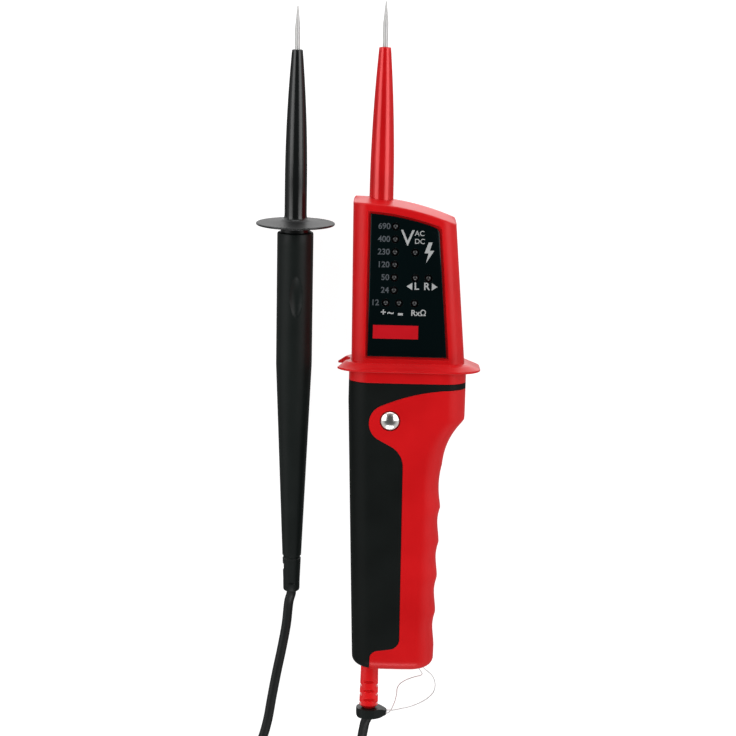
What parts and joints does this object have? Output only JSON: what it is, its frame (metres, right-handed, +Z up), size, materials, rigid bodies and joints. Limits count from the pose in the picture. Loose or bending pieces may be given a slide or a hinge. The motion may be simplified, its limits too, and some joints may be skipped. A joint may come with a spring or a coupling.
{
  "type": "voltage tester",
  "caption": "Two-pole voltage tester: a red and black main unit with a light display and finger guard, and a second probe on a soft black lead that lies coiled beside it.",
  "frame": {"origin": "on the surface it lies on, at the middle of the tester and second probe without the lead", "axes": "+Y towards the needle tips, +X to the right as the display is read, +Z up out of the display"},
  "size_m": [0.0992, 0.3749, 0.032],
  "materials": {
    "red_plastic": "satin",
    "soft_black": "matte",
    "hard_black": "matte",
    "gloss_black": "gloss",
    "window_black": "gloss",
    "clear_lens": "gloss",
    "nickel_steel": "satin",
    "bright_nickel": "polished",
    "board_green": "satin",
    "cell_jacket": "satin",
    "resistor_blue": "satin",
    "thread_grey": "matte"
  },
  "bodies": {
    "root": {"front_shell": "red_plastic", "rear_shell": "red_plastic", "front_grip_pad": "soft_black", "rear_grip_pad": "soft_black", "display_window": "window_black", "voltage_lights": "clear_lens", "polarity_lights": "clear_lens", "phase_light": "clear_lens", "rotation_lights": "clear_lens", "continuity_light": "clear_lens", "touch_electrode": "bright_nickel", "electrode_spring": "nickel_steel", "circuit_board": "board_green", "buzzer": "hard_black", "needle_contact": "nickel_steel", "cells": "cell_jacket", "battery_contacts": "nickel_steel", "battery_springs": "nickel_steel", "battery_door": "hard_black", "door_screw": "nickel_steel", "case_screws": "nickel_steel", "main_needle": "nickel_steel", "main_sleeve": "red_plastic", "strain_relief": "red_plastic", "inner_lead": "soft_black", "tether_collar": "hard_black", "tether_thread": "thread_grey", "second_needle": "nickel_steel", "second_sleeve": "gloss_black", "second_handle": "hard_black", "second_resistor": "resistor_blue", "second_inner_wire": "soft_black", "lead_main_run": "soft_black", "lead_coil": "soft_black", "lead_probe_run": "soft_black"}
  },
  "joints": []
}
